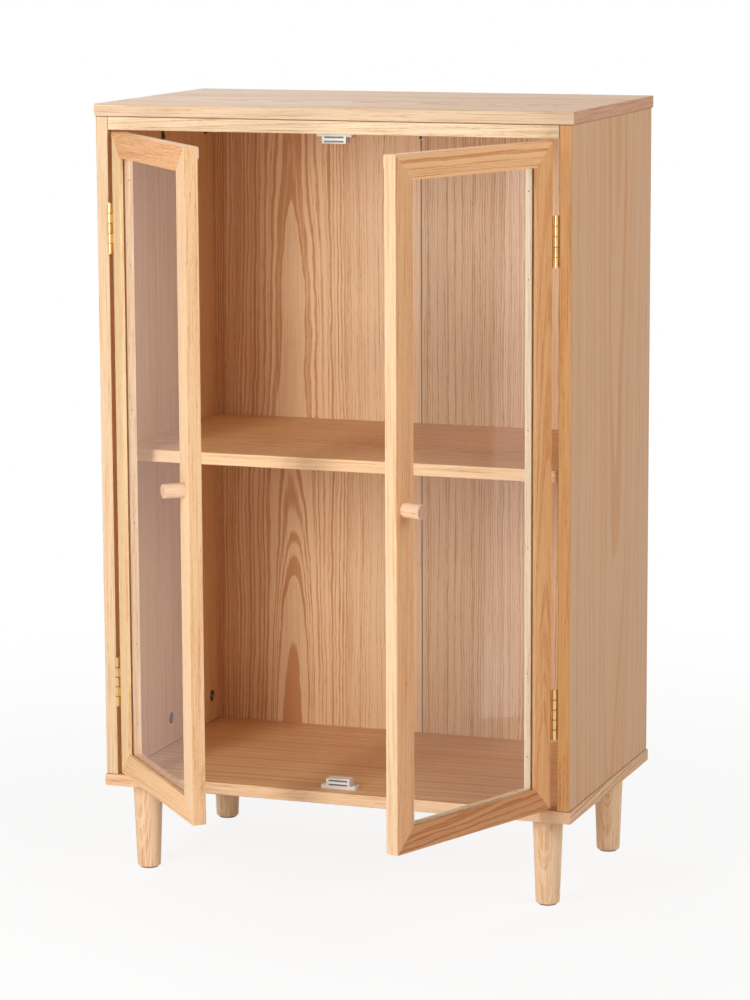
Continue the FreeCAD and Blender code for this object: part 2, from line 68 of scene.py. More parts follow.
class Socket:
    """One output in a material's nodes. A sum or product with it adds the node that works it out."""

    def __init__(self, tree, output=None):
        self.tree = tree
        self.output = output

    def node(self, kind, settings, inputs, output=0):
        """Add a node: first its settings, then the values or links of its inputs."""
        made = self.tree.nodes.new("ShaderNode" + kind)
        for name, value in settings.items():
            if name == "stops":
                self.set_stops(made.color_ramp, value)
            else:
                setattr(made, name, value)
        for name, value in inputs.items():
            if isinstance(value, Socket):
                self.tree.links.new(value.output, made.inputs[name])
            else:
                made.inputs[name].default_value = value
        return Socket(self.tree, made.outputs[output] if made.outputs else None)

    def set_stops(self, ramp, stops):
        """Give a ramp its colours, each at its place between 0 and 1."""
        while len(ramp.elements) < len(stops):
            ramp.elements.new(1.0)
        for element, (place, colour) in zip(ramp.elements, stops):
            element.position = place
            element.color = (*colour, 1.0)

    def out(self, name):
        """Another output of the same node."""
        return Socket(self.tree, self.output.node.outputs[name])

    def math(self, operation, *others):
        """This value, put through a Math node with any others that it takes."""
        return self.node("Math", {"operation": operation}, dict(enumerate((self, *others))))

    def __add__(self, other):
        return self.math("ADD", other)

    __radd__ = __add__

    def __sub__(self, other):
        return self.math("SUBTRACT", other)

    def __rsub__(self, other):
        return self.node("Math", {"operation": "SUBTRACT"}, {0: other, 1: self})

    def __mul__(self, other):
        return self.math("MULTIPLY", other)

    __rmul__ = __mul__

    def __truediv__(self, other):
        return self.math("DIVIDE", other)

    def __abs__(self):
        return self.math("ABSOLUTE")

    def largest(self, *others):
        """The largest of this value and some others."""
        most = self
        for other in others:
            most = most.math("MAXIMUM", other)
        return most

    def hypot(self, other):
        """The long side of a right triangle, from its two short ones."""
        return (self * self + other * other).math("SQRT")

    def rising(self, low, high):
        """0 below low, 1 above high and a smooth rise between."""
        settings = {"interpolation_type": "SMOOTHSTEP"}
        return self.node("MapRange", settings, {"Value": self, "From Min": low, "From Max": high})

    def noise(self, vector, scale, detail):
        """Cloudy noise between 0 and 1, about a half on the whole."""
        return self.node("TexNoise", {}, {"Vector": vector, "Scale": scale, "Detail": detail})

    def sway(self, reach):
        """Noise made to go to both sides of nought, over this reach in all."""
        return (self - 0.5) * reach

    def mix(self, share, first, second):
        """A colour between two others: the first where share is 0, the second where it is 1."""
        ends = [end if isinstance(end, Socket) else (*end, 1.0) for end in (first, second)]
        return self.node("Mix", {"data_type": "RGBA"}, {0: share, 6: ends[0], 7: ends[1]}, 2)


def new_material(name):
    """An empty material, and a socket to start its nodes from."""
    made = bpy.data.materials.new(name)
    made.use_nodes = True
    made.node_tree.nodes.clear()
    return made, Socket(made.node_tree)


def dress(node, made):
    """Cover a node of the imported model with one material."""
    slots = frame["nodes"][node].data.materials
    slots.clear()
    slots.append(made)


full_contrast = (1.0, 1.0, 1.0)


def tones(colour, contrast=full_contrast):
    """Pale, middle and brown shades of one wood, each with its place, from its colour on the whole."""
    shifts = {0.0: (1.07, 1.13, 1.22), 0.45: (1.0, 1.0, 1.0), 1.0: (0.75, 0.54, 0.4)}
    shades = []
    for place, shift in shifts.items():
        shade = tuple(c * (1 + (s - 1) * much) for c, s, much in zip(colour, shift, contrast))
        shades.append((place, shade))
    return shades


def wood(
    node, grain, colour, pith, ring, figure, fleck=0.1, contrast=full_contrast, lean=0.03,
    narrowing=0.0, ripple=1.0, painted_shade_across=0.0, turn=0.0, banded_ends=False, shaded_seams=(), sides=None
):
    """Cover a node with lacquered oak. grain names the axes along it, across the face and through.

    The rings lie round a pith that is pith away from the node's centre, across and through, and that
    leans by lean. ring is the width of a year's growth, narrowing how fast it shrinks away from the
    pith and ripple how far it waves. figure is how strongly the rings show, fleck how strongly the
    short dark rays do and contrast how far apart the shades lie in red, green and blue.
    painted_shade_across is how fast a painted shade darkens the wood across the face. turn is how
    far the node is turned with its door, and banded_ends covers its ends with strips of the same wood.
    shaded_seams names the sides of the node, such as "+Z", where it meets its neighbour and a dark line
    of painted shade lies just inside its edge. sides gives the colour of those that are covered with
    other wood, or cut so that the same wood looks other and calmer.
    """
    made, start = new_material(node)
    place = start.node("TexCoord", {}, {}, "Object")
    turned = {"Rotation": (0.0, 0.0, turn)}
    low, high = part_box(node)
    own = start.node("Mapping", {"vector_type": "TEXTURE"}, {
        "Vector": place, "Location": (low + high) / 2, **turned,
    })
    facing = start.node("Mapping", {"vector_type": "TEXTURE"}, {
        "Vector": place.out("Normal"), **turned,
    })
    at = start.node("SeparateXYZ", {}, {"Vector": own})
    to = start.node("SeparateXYZ", {}, {"Vector": facing})
    along, across, through = (at.out(axis) for axis in grain)
    end_range = (0.6, 0.8)
    end_on = abs(to.out(grain[0])).rising(*end_range)
    if banded_ends:
        along, across, through = (
            along + (across - along) * end_on,
            across + (through - across) * end_on,
            through + (along - through) * end_on,
        )

    def outward(values, side):
        """The part of a place or direction that points out of a side, such as "-Y"."""
        return values.out(side[1]) * float(side[0] + "1")

    def streaks(stretch, scale, detail=1.0):
        """Noise that is drawn out along the grain, the longer the smaller stretch is."""
        spot = start.node("CombineXYZ", {}, {0: along * stretch, 1: across, 2: through})
        return start.noise(spot, scale, detail)

    # The rings stray over long stretches, wave along the grain and have ragged edges.
    wander = streaks(stretch=0.2, scale=12.0).sway(2.0 * ring)
    waves = streaks(stretch=0.3, scale=70.0).sway(0.003 * ripple)
    ragged = streaks(stretch=0.2, scale=450.0).sway(0.0012)
    side_lean = 0.3 * lean
    side = across - pith[0] - along * side_lean + waves + ragged
    depth = through - pith[1] - along * lean
    distance = side.hypot(depth)
    radius = distance + wander

    # Good and poor years make them wide or narrow, and each one strong or faint.
    pace_of_change = 0.4
    most_change = 1.5
    faintest = 0.55
    years = radius * (radius * narrowing + 1.0) / ring
    fortune = start.node("TexNoise", {"noise_dimensions": "1D"}, {
        "W": years * pace_of_change, "Detail": 1.0,
    })
    years = years + fortune * most_change
    strength = start.node("TexWhiteNoise", {"noise_dimensions": "1D"}, {"W": years.math("FLOOR")})
    early = start.node("ValToRGB", {"stops": [
        (0.0, (0.05,) * 3),
        (0.1, (0.85,) * 3),
        (0.25, (1.0,) * 3),
        (0.46, (0.8,) * 3),
        (0.62, (0.15,) * 3),
        (1.0, (0.0,) * 3),
    ]}, {"Fac": years.math("FRACT")})
    rings = early * (strength * (1.0 - faintest) + faintest)
    rings_on_the_whole = 0.32
    contrast_of_rings = rings - rings_on_the_whole

    # Fibres, pores, rays and cloudy patches lie over the rings.
    pore_range = (0.52, 0.68)
    ray_range = (0.58, 0.7)
    pores_in_late_wood = 0.25
    fibre = streaks(stretch=0.015, scale=600.0, detail=3.0)
    pore = streaks(stretch=0.07, scale=950.0).rising(*pore_range)
    pore = pore * (rings * (1.0 - pores_in_late_wood) + pores_in_late_wood)
    pore_shade = pore * 0.3
    ray = streaks(stretch=0.18, scale=1000.0, detail=0.0).rising(*ray_range)
    patch = streaks(stretch=0.25, scale=14.0)

    # A face that is cut flat along the rings is a little darker, and an end across them darkest.
    sawn_flat = abs((side * to.out(grain[1]) + depth * to.out(grain[2])) / distance)
    flat_as_a_band = 0.9
    dark_as_an_end = 1.2
    if banded_ends:
        sawn_flat = sawn_flat + (flat_as_a_band - sawn_flat) * end_on
    else:
        sawn_flat = sawn_flat + end_on * dark_as_an_end

    # All of these add up to one shade, from 0 for pale wood to 1 for brown.
    lightest = 0.25
    shade = lightest + contrast_of_rings * figure + fibre.sway(1.3) + patch.sway(0.3)
    # The last part is a painted shade that darkens the wood towards one side of the face.
    shade = shade + pore_shade + ray * fleck + sawn_flat * 0.25 + across * painted_shade_across
    hues = tones(colour, contrast)
    tint = start.node("ValToRGB", {"stops": hues}, {"Fac": shade})

    # Rounded edges are painted a little paler, partly as wear and partly as a painted highlight along
    # each arris.
    bend_range = (0.02, 0.2)
    palest = hues[0][1]
    flat_on = abs(to.out("X")).largest(abs(to.out("Y")), abs(to.out("Z")))
    worn_and_highlit = (1.0 - flat_on).rising(*bend_range)
    tint = start.mix(worn_and_highlit * 0.3, tint, palest)

    # Sides of other wood show its fibres, and little of the rings.
    side_range = (0.5, 0.8)
    calm_lightest = 0.4
    calm_figure = 0.2 * figure
    for name, other in (sides or {}).items():
        looks = outward(to, name).rising(*side_range)
        lines = calm_lightest + fibre.sway(1.8) + contrast_of_rings * calm_figure + pore_shade
        calm = start.node("ValToRGB", {"stops": tones(other)}, {"Fac": lines})
        tint = start.mix(looks, tint, calm)

    # Painted shade: a dark line just inside the node's own edges, at each side where it meets its
    # neighbour.
    seam_shade_colour = (0.2, 0.1, 0.05)
    seam_shade_share = 0.85
    seam_width = 0.0011
    seam_core = 0.0005
    for name in shaded_seams:
        edge = (high - low)["XYZ".index(name[1])] / 2
        line = outward(at, name).rising(edge - seam_width, edge - seam_core)
        tint = start.mix(line * seam_shade_share, tint, seam_shade_colour)

    # The lacquer sinks into the pores and is duller on brown wood and where it is worn.
    lacquer_dullness = 0.36
    relief = start.node("Bump", {}, {
        "Strength": 0.35, "Distance": 0.0004, "Height": 1.0 - pore * 0.7 - rings * 0.2,
    })
    surface = start.node("BsdfPrincipled", {}, {
        "Base Color": tint,
        "Roughness": lacquer_dullness + shade * 0.16 + worn_and_highlit * 0.08,
        "Specular IOR Level": 0.35,
        "Normal": relief,
    })
    start.node("OutputMaterial", {}, {"Surface": surface})
    dress(node, made)


leg_colour = (0.95, 0.68, 0.43)
# The rear left leg stands in the cabinet's shadow, and its paler colour is painted light.
leg_with_painted_light = (0.98, 0.76, 0.52)
legs = {
    "front_left_leg": (leg_colour, (0.012, 0.05)),
    "front_right_leg": (leg_colour, (-0.004, 0.045)),
    "rear_left_leg": (leg_with_painted_light, (0.006, 0.05)),
    "rear_right_leg": (leg_colour, (-0.01, 0.055)),
}
for leg, (colour, pith) in legs.items():
    wood(leg, "ZXY", colour, pith, ring=0.003, figure=0.28, lean=0.06)

# Hanger bolts: zinc plated steel rods with a wood thread below and a machine thread above.
# Each one stands in the middle of a leg's top and screws up into the bottom panel.


def metal(name, colour, roughness, scratches, knuckle_gap_shade=None):
    """Plated or polished metal, with fine scratches that change its shine from place to place.

    knuckle_gap_shade gives a pin, how far from it a dark line of painted shade reaches, and the heights
    of the gaps between knuckles where it lies.
    """
    made, start = new_material(name)
    place = start.node("TexCoord", {}, {}, "Object")
    tarnish_range = (0.45, 0.75)
    fine = start.noise(place, scale=1500.0, detail=2.0)
    tarnish = start.noise(place, scale=60.0, detail=3.0).rising(*tarnish_range)
    dulled = tuple(0.72 * part for part in colour)
    tone = start.mix(tarnish * 0.5, colour, dulled)
    if knuckle_gap_shade:
        pin, reach, heights = knuckle_gap_shade
        gap_shade_colour = (0.06, 0.035, 0.02)
        gap_shade_share = 0.8
        soft_edge = 0.0004
        line_range = (0.0003, 0.0008)
        at = start.node("SeparateXYZ", {}, {"Vector": place})
        around = (at.out("X") - pin.x).hypot(at.out("Y") - pin.y)
        near = 1.0 - around.rising(reach, reach + soft_edge)
        # Painted shade: a dark line at each gap between knuckles, close round the pin.
        for height in heights:
            line = 1.0 - abs(at.out("Z") - height).rising(*line_range)
            tone = start.mix(line * near * gap_shade_share, tone, gap_shade_colour)
    marks = start.node("Bump", {}, {"Strength": scratches, "Distance": 0.0001, "Height": fine})
    surface = start.node("BsdfPrincipled", {}, {
        "Base Color": tone,
        "Metallic": 1.0,
        "Roughness": roughness + tarnish * 0.1 + fine.sway(0.1),
        "Normal": marks,
    })
    start.node("OutputMaterial", {}, {"Surface": surface})
    return made


zinc = metal("zinc_plate", (0.62, 0.61, 0.58), roughness=0.32, scratches=0.2)
dress("leg_hanger_bolts", zinc)

# Glides: dark discs of moulded plastic under the feet, so that the cabinet slides and stands dry.
# Each is held by a small nail through its middle.


def plastic(name, colour, roughness, dusty, painted_hole=None):
    """Moulded plastic, with the fine texture of its mould and a little dust in the hollows.

    painted_hole gives the middle and the radius of a round dark disc painted on its front, as the shade
    inside a hole.
    """
    made, start = new_material(name)
    place = start.node("TexCoord", {}, {}, "Object")
    dust = (0.55, 0.5, 0.45)
    dust_range = (0.4, 0.8)
    grit = start.noise(place, scale=900.0, detail=2.0)
    settled = start.noise(place, scale=45.0, detail=2.0).rising(*dust_range)
    tone = start.mix(settled * dusty, colour, dust)
    # Painted shade: a dark disc stands for the inside of a hole.
    if painted_hole:
        middle, radius = painted_hole
        hole_shade = (0.02, 0.013, 0.01)
        rim = 0.85 * radius
        at = start.node("SeparateXYZ", {}, {"Vector": place})
        around = (at.out("X") - middle.x).hypot(at.out("Z") - middle.z)
        inside = 1.0 - around.rising(rim, radius)
        tone = start.mix(inside, tone, hole_shade)
    mould = start.node("Bump", {}, {"Strength": 0.15, "Distance": 0.0002, "Height": grit})
    surface = start.node("BsdfPrincipled", {}, {
        "Base Color": tone,
        "Roughness": roughness + grit.sway(0.15),
        "Normal": mould,
    })
    start.node("OutputMaterial", {}, {"Surface": surface})
    return made


glide_plastic = plastic("glide_plastic", (0.2, 0.19, 0.18), roughness=0.6, dusty=0.25)
dress("foot_glides", glide_plastic)

# Bottom panel: oak veneer on board, its grain running across the cabinet.
# Its ends are covered with strips whose grain runs from front to back.
# The legs are screwed into it from below and the sides stand on it.
wood(
    "bottom_panel", "XYZ", (0.76, 0.47, 0.24), pith=(-0.3, -0.1), ring=0.004, figure=0.7,
    banded_ends=True, sides={"-Y": (0.86, 0.57, 0.34)},
)

# Side panels: oak veneered boards with a quiet upright grain, set between the bottom and top panels.
# Dowels place them and cam locks draw them tight, and a fine dark line of painted shade marks each
# joint.
# The left one has a pale strip along its front edge, the right one is redder, with a golden strip.
end_joints = ("+Z", "-Z")
wood(
    "left_side_panel", "ZYX", (0.82, 0.54, 0.31), pith=(-0.5, 0.1), ring=0.0035, figure=0.35,
    shaded_seams=end_joints, sides={"-Y": (0.8, 0.57, 0.35)},
)
wood(
    "right_side_panel", "ZYX", (0.67, 0.37, 0.17), pith=(0.02, -0.07), ring=0.014, figure=0.6,
    contrast=(0.15, 0.3, 0.4), ripple=2.0, shaded_seams=end_joints, sides={"-Y": (0.7, 0.36, 0.13)},
)

# Dowels: plain hardwood pegs with the grain along them, glued into the ends of the side panels.
# They are hidden once the cabinet stands.
wood("panel_dowels", "XYZ", leg_colour, pith=(0.3, 0.4), ring=0.003, figure=0.2)

# Cam locks and bolts: zinc castings let into the sides' inner faces, gripping the heads of steel bolts.
# A ring and a cross are pressed into the face of each, which is dark down in them.
# The screws and nails of the other fittings are modelled in the same way.
cast_zinc = metal("cast_zinc", (0.22, 0.18, 0.15), roughness=0.24, scratches=0.5)
dress("cam_bolts", zinc)


def looks_up(facing):
    return facing.z > 0.9


def looks_down(facing):
    return facing.z < -0.9


def pick_faces(piece, wanted):
    """Select the faces whose direction passes a test, and stay in edit mode for the next operator."""
    bpy.ops.object.mode_set(mode="EDIT")
    bpy.ops.mesh.select_mode(type="FACE")
    bpy.ops.mesh.select_all(action="DESELECT")
    bpy.ops.object.mode_set(mode="OBJECT")
    for face in piece.data.polygons:
        face.select = wanted(face.normal)
    bpy.ops.object.mode_set(mode="EDIT")


def draw_out(rise, share):
    """Draw the selected face up by rise, and make it share times as wide."""
    bpy.ops.mesh.extrude_region_move(TRANSFORM_OT_translate={"value": (0.0, 0.0, rise)})
    bpy.ops.transform.resize(value=(share, share, 1.0))


def turned_pin(shank, length, head, tip=1.5):
    """A pin with a head, pointing down from the origin.

    head lists the radius and the rise of each step from the neck to the top. tip is how long its
    point is, in radiuses of the shank.
    """
    tip_width = 0.2
    bpy.ops.object.select_all(action="DESELECT")
    bpy.ops.mesh.primitive_cylinder_add(
        vertices=24, radius=shank, depth=length, location=(0.0, 0.0, -length / 2)
    )
    pin = bpy.context.active_object
    bpy.ops.object.transform_apply()
    if tip:
        pick_faces(pin, looks_down)
        draw_out(-tip * shank, tip_width)
    pick_faces(pin, looks_up)
    radius = shank
    for wider, rise in head:
        draw_out(rise, wider / radius)
        radius = wider
    bpy.ops.object.mode_set(mode="OBJECT")
    return pin


def cross_screw(shank, length, head, tip=1.5):
    """The same with a cross pressed into its head by a tapered bit."""
    screw = turned_pin(shank, length, head, tip)
    top = sum(rise for _, rise in head)
    widest = max(radius for radius, _ in head)
    bit_size = (1.2 * widest, 0.3 * widest, 0.9 * widest)
    bit_taper = 0.6
    for turn in (0.0, math.radians(90.0)):
        bpy.ops.object.select_all(action="DESELECT")
        bpy.ops.mesh.primitive_cube_add(
            size=1.0, location=(0.0, 0.0, top), rotation=(0.0, 0.0, turn), scale=bit_size
        )
        bit = bpy.context.active_object
        bpy.ops.object.transform_apply()
        pick_faces(bit, looks_down)
        bpy.ops.transform.resize(value=(bit_taper, bit_taper, 1.0))
        bpy.ops.object.mode_set(mode="OBJECT")
        recess = screw.modifiers.new("recess", "BOOLEAN")
        recess.operation = "DIFFERENCE"
        recess.object = bit
        bpy.context.view_layer.objects.active = screw
        bpy.ops.object.modifier_apply(modifier="recess")
        bpy.data.objects.remove(bit)
    return screw


def drive(name, screw, places):
    """Set a copy of a screw at each place, along the way it is driven, and join them as one piece."""
    turn_apart = 0.7
    bpy.ops.object.select_all(action="DESELECT")
    for number, (place, into) in enumerate(places):
        copy = screw.copy()
        copy.data = screw.data.copy()
        aim = Vector(into).to_track_quat("-Z", "Y").to_matrix().to_4x4()
        turned = Matrix.Rotation(turn_apart * number, 4, "Z")
        copy.matrix_world = Matrix.Translation(place) @ aim @ turned
        bpy.context.scene.collection.objects.link(copy)
        copy.select_set(True)
        bpy.context.view_layer.objects.active = copy
    bpy.ops.object.join()
    bpy.ops.object.transform_apply()
    bpy.ops.object.shade_smooth_by_angle(angle=math.radians(35.0))
    joined = bpy.context.active_object
    joined.name = name
    return joined


def fit(piece, made, body, node=None):
    """Give a new piece its material, its body and its slot, and the node that it stands for."""
    piece.data.materials.clear()
    piece.data.materials.append(made)
    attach(piece, body)
    if node:
        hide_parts(node)


cam_radius = 0.0075
cam_depth = 0.0125
cam_face = [(0.0068, 0.0), (0.0064, -0.0008), (0.0056, 0.0), (0.0052, 0.0008)]
cam = cross_screw(cam_radius, cam_depth, cam_face, tip=0.0)
low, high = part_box("cam_locks")
cam_places = []
for out in (-1, 1):
    for y in (low.y + cam_radius, (low.y + high.y) / 2, high.y - cam_radius):
        for z in (low.z + cam_radius, high.z - cam_radius):
            cam_places.append((Vector((out * (high.x - cam_depth), y, z)), (out, 0, 0)))
fit(drive("cam_lock_discs", cam, cam_places), cast_zinc, "carcass", "cam_locks")
bpy.data.objects.remove(cam)

# Shelf: a solid oak board fixed on dowels between the sides, its grain running across.
# Its front edge is planed clean and paler than its top.
wood(
    "shelf", "XYZ", (0.81, 0.51, 0.27), pith=(-0.05, -0.03), ring=0.004, figure=0.4, fleck=0.35,
    sides={"-Y": (0.92, 0.6, 0.34)},
)

# Front rail: an oak strip under the top panel, in line with the fronts of the sides.
# It is glued in place, with fine dark lines of painted shade along its top and its ends.
wood(
    "top_front_rail", "XZY", (0.9, 0.71, 0.47), pith=(0.05, 0.03), ring=0.0024, figure=0.3,
    shaded_seams=("+Z", "-X", "+X"),
)

# Top panel: oak veneer like the bottom panel's, its grain running across.
# A pale strip covers its front edge, and a darker, redder one its right end.
wood(
    "top_panel", "XYZ", (0.84, 0.57, 0.35), pith=(-0.05, -0.25), ring=0.0024, figure=0.4,
    banded_ends=True, sides={"+X": (0.6, 0.3, 0.14), "-Y": (0.79, 0.58, 0.38)},
)

# Back boards: two thin oak-faced boards, slid into grooves in the sides and meeting behind the middle.
# The left one is cut flat, so that its rings draw wide arches, and it is painted darker towards the
# side panel, as painted shade for the shadow of the side panel and the left door.
# The right one has fine lines that stand nearly straight.
# Its edge at the middle has a dark line of painted shade along the seam between the boards.
wood(
    "back_board_left", "ZXY", (0.86, 0.59, 0.35), pith=(-0.034, 0.045), ring=0.009, figure=1.0,
    lean=0.02, narrowing=8.0, ripple=1.5, painted_shade_across=-2.4, shaded_seams=("+X",),
)
wood(
    "back_board_right", "ZXY", (0.79, 0.55, 0.335), pith=(-0.3, 0.05), ring=0.0032, figure=0.8,
    ripple=1.5,
)

# Seam clip: a small white moulded clip, pushed over the back boards' edges at the top of their seam.
# It keeps the two boards in line, and a dark disc on its front is painted shade, standing for a hole.
moulded_white = (0.78, 0.77, 0.74)
hole_radius = 0.0026
hole_aside = -0.0008
hole_height = 0.0032
low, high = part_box("back_seam_clip")
hole = Vector(((low.x + high.x) / 2 + hole_aside, low.y, low.z + hole_height))
clip_plastic = plastic(
    "clip_plastic", moulded_white, roughness=0.35, dusty=0.08, painted_hole=(hole, hole_radius)
)
dress("back_seam_clip", clip_plastic)

# Magnetic catches: white moulded housings, one on the floor and one under the rail.
# Each holds a ferrite magnet between two steel pole plates, and two round-headed screws fix it.
# The plates are painted dark, partly their steel and partly painted shade for the slots they sit in.
white_plastic = plastic("white_plastic", moulded_white, roughness=0.35, dusty=0.08)
slot_shaded_steel = metal("slot_shaded_steel", (0.2, 0.2, 0.2), roughness=0.45, scratches=0.2)
for level in ("lower", "upper"):
    ferrite = plastic(level + "_ferrite", (0.03, 0.03, 0.032), roughness=0.55, dusty=0.1)
    dress(level + "_catch_housing", white_plastic)
    dress(level + "_catch_magnet", ferrite)
    dress(level + "_catch_pole_plates", slot_shaded_steel)

ear_thickness = 0.004
round_head = [(0.0028, 0.0), (0.0028, 0.0008), (0.0022, 0.0006), (0.0012, 0.0002)]
round_screw = cross_screw(shank=0.0015, length=0.012, head=round_head)
low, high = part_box("catch_screws")
reach = high.x - round_head[0][0]
for level, up in (("lower", 1), ("upper", -1)):
    housing_low, housing_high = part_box(level + "_catch_housing")
    seat = housing_low.z + ear_thickness if up > 0 else housing_high.z - ear_thickness
    seats = [(Vector((s * reach, (low.y + high.y) / 2, seat)), (0, 0, -up)) for s in (-1, 1)]
    catch_screws = drive(level + "_catch_cross_screws", round_screw, seats)
    fit(catch_screws, zinc, "carcass", "catch_screws")
bpy.data.objects.remove(round_screw)

# Butt hinges: polished brass leaves, rolled round a headed pin.
# Flat-headed brass screws fix one leaf to the side panel and the other to the door's edge.
# A dark line of painted shade lies at each joint between their knuckles, where the gap is in shade.
brass_look = {"colour": (0.77, 0.56, 0.26), "roughness": 0.13, "scratches": 0.1}
brass = metal("polished_brass", **brass_look)
leaf_thickness = 0.0012
barrel_width = 0.0055
knuckles = 5
gap_shade_reach = barrel_width / 2 + 0.0003
door_openings = {}
door_turns = {}
for joint in frame["joints"]:
    hand = joint["child"].split("_")[0]
    turn = -math.radians(joint["range_deg"][0] * joint["axis"][2])
    pin = Vector(joint["pos_m"])
    swing = Matrix.Rotation(turn, 4, "Z")
    door_turns[hand] = turn
    door_openings[hand] = Matrix.Translation(pin) @ swing @ Matrix.Translation(-pin)
    dress(hand + "_hinge_pins", brass)
    for level in ("upper", "lower"):
        low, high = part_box(hand + "_" + level + "_hinge_frame_leaf")
        heights = [low.z + (high.z - low.z) * row / knuckles for row in range(1, knuckles)]
        leaf_brass = metal(
            hand + "_" + level + "_hinge_brass", **brass_look, knuckle_gap_shade=(pin, gap_shade_reach, heights)
        )
        dress(hand + "_" + level + "_hinge_frame_leaf", leaf_brass)
        dress(hand + "_door_" + level + "_hinge_leaf", leaf_brass)


def shut_box(hand, node):
    """The lowest and highest corners that a door's node has when the door is shut."""
    shut = door_openings[hand].inverted()
    corners = [shut @ vertex.co for vertex in frame["nodes"][node].data.vertices]
    return Vector(map(min, zip(*corners))), Vector(map(max, zip(*corners)))


flat_screw = cross_screw(shank=0.0015, length=0.0108, head=[(0.0028, leaf_thickness)])
screw_pitch = 0.04


def leaf_screw_places(corners, into):
    """Two places under a hinge leaf, on the wood that its screws are driven into."""
    low, high = corners
    wood_x = max(low.x * into, high.x * into) * into
    y = (low.y + barrel_width + high.y) / 2
    heights = [(low.z + high.z + s * screw_pitch) / 2 for s in (-1, 1)]
    return [(Vector((wood_x, y, height)), (into, 0, 0)) for height in heights]


for hand, out in (("left", -1), ("right", 1)):
    frame_places = []
    door_places = []
    for level in ("upper", "lower"):
        frame_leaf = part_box(hand + "_" + level + "_hinge_frame_leaf")
        door_leaf = shut_box(hand, hand + "_door_" + level + "_hinge_leaf")
        frame_places += leaf_screw_places(frame_leaf, out)
        door_places += leaf_screw_places(door_leaf, -out)
    frame_screws = drive(hand + "_frame_cross_screws", flat_screw, frame_places)
    fit(frame_screws, brass, "carcass", "frame_hinge_screws")
    door_screws = drive(hand + "_door_cross_screws", flat_screw, door_places)
    door_screws.data.transform(door_openings[hand])
    fit(door_screws, brass, hand + "_door", hand + "_door_hinge_screws")
bpy.data.objects.remove(flat_screw)

# Door frames: four oak bars each, glued at mitred corners, with the grain along every bar.
# The bars come from different boards, so each has a colour and a figure of its own.
bars = {
    "left_door_hinge_stile": dict(
        grain="ZXY", colour=(0.92, 0.64, 0.35), pith=(0.1, 0.03), ring=0.003, figure=0.2,
    ),
    "left_door_meeting_stile": dict(
        grain="ZXY", colour=(0.87, 0.57, 0.32), pith=(0.09, 0.02), ring=0.003, figure=0.2, fleck=0.12,
    ),
    "left_door_top_rail": dict(
        grain="XZY", colour=(0.86, 0.46, 0.2), pith=(0.02, 0.04), ring=0.0025, figure=0.2, fleck=0.25,
        ripple=3.0,
    ),
    "left_door_bottom_rail": dict(
        grain="XZY", colour=(0.9, 0.55, 0.27), pith=(0.06, 0.05), ring=0.003, figure=0.3,
    ),
    "right_door_hinge_stile": dict(
        grain="ZXY", colour=(0.88, 0.48, 0.21), pith=(0.005, 0.03), ring=0.0045, figure=0.35,
    ),
    "right_door_meeting_stile": dict(
        grain="ZXY", colour=(0.89, 0.49, 0.24), pith=(0.06, 0.03), ring=0.003, figure=0.5, ripple=2.0,
        sides={"-X": (0.86, 0.6, 0.36)},
    ),
    "right_door_top_rail": dict(
        grain="XZY", colour=(0.98, 0.56, 0.27), pith=(0.04, 0.02), ring=0.008, figure=0.7, lean=0.008,
    ),
    "right_door_bottom_rail": dict(
        grain="XZY", colour=(0.67, 0.31, 0.12), pith=(0.02, 0.03), ring=0.0045, figure=0.9, ripple=3.0,
    ),
}
for bar, cut in bars.items():
    hand = bar.split("_")[0]
    wood(bar, turn=door_turns[hand], **cut)

# Glazing beads: slim strips of pale oak that hold the glass in the frame from behind.
# They are mitred at the corners, as the bars are.
# The right door's beads are painted paler, as painted light where the lamp only partly reaches them.
bead_colours_with_light = {"left": (0.9, 0.63, 0.41), "right": (0.96, 0.76, 0.55)}
for hand, turn in door_turns.items():
    wood(
        hand + "_door_glazing_beads", "ZXY", bead_colours_with_light[hand], pith=(0.2, 0.2), ring=0.004,
        figure=0.25, turn=turn,
    )

# Bead pins: fine steel nails with small dark heads, driven through the beads into the bars.
# They stand in a row along all four sides.
nail_steel = metal("nail_steel", (0.16, 0.14, 0.12), roughness=0.5, scratches=0.3)
bead_width = 0.008
upright_drops = (0.035, 0.137, 0.312, 0.45, 0.60, 0.70)
level_shares = (0.12, 0.5, 0.88)
nail = turned_pin(shank=0.0005, length=0.012, head=[(0.0008, 0.0002), (0.0006, 0.0002)])
for hand in door_turns:
    low, high = shut_box(hand, hand + "_door_glazing_beads")
    middle = (low.y + high.y) / 2
    places = []
    for drop in upright_drops:
        places.append((Vector((low.x + bead_width, middle, high.z - drop)), (-1, 0, 0)))
        places.append((Vector((high.x - bead_width, middle, high.z - drop)), (1, 0, 0)))
    for share in level_shares:
        across = low.x + share * (high.x - low.x)
        places.append((Vector((across, middle, low.z + bead_width)), (0, 0, -1)))
        places.append((Vector((across, middle, high.z - bead_width)), (0, 0, 1)))
    nails = drive(hand + "_door_bead_pins", nail, places)
    nails.data.transform(door_openings[hand])
    fit(nails, nail_steel, hand + "_door")
bpy.data.objects.remove(nail)

# Door glass: clear polished sheet, with a faint film that dulls its shine in places.
# It lies in the bars' rebates, and mirrors the more the further it is seen from the side.


